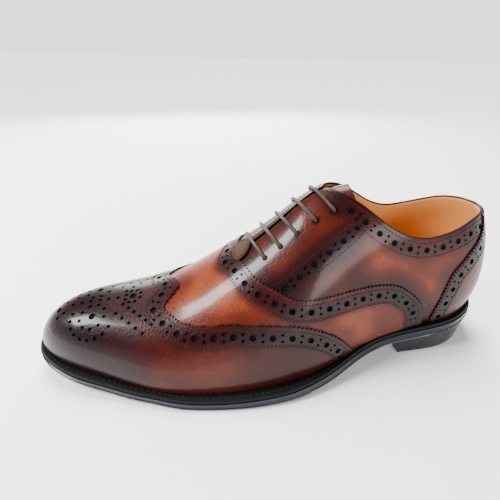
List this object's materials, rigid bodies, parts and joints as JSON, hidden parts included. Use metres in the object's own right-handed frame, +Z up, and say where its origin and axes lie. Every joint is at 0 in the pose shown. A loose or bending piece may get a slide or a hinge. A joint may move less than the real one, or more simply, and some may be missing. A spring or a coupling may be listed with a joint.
{
  "type": "brogue shoe",
  "caption": "Man's leather wing tip oxford shoe for the left foot, laced, with a low stacked heel.",
  "frame": {"origin": "middle of the shoe's footprint, on the floor under its heel and forefoot", "axes": "+X from heel to toe, +Y to the wearer's left, which is the outer side, +Z up"},
  "size_m": [0.3094, 0.107, 0.1175],
  "materials": {
    "brown_leather": "burnished and polished",
    "vamp_leather": "burnished and polished",
    "wing_leather": "burnished and polished",
    "counter_leather": "burnished and polished",
    "tab_leather": "satin",
    "tongue_leather": "satin",
    "insole_leather": "matt tan lining leather",
    "sole_black": "polished edge",
    "welt_black": "matt",
    "heel_black": "polished",
    "lace_cotton": "round waxed cotton"
  },
  "bodies": {
    "root": {"upper": "brown_leather", "vamp": "vamp_leather", "wing_cap": "wing_leather", "heel_counter": "counter_leather", "throat_tab": "tab_leather", "tongue": "tongue_leather", "insole": "insole_leather", "welt": "welt_black", "outsole": "sole_black", "heel": "heel_black", "lace_bar_1": "lace_cotton", "lace_bar_2": "lace_cotton", "lace_bar_3": "lace_cotton", "lace_bar_4": "lace_cotton", "lace_bar_5": "lace_cotton"}
  },
  "joints": []
}
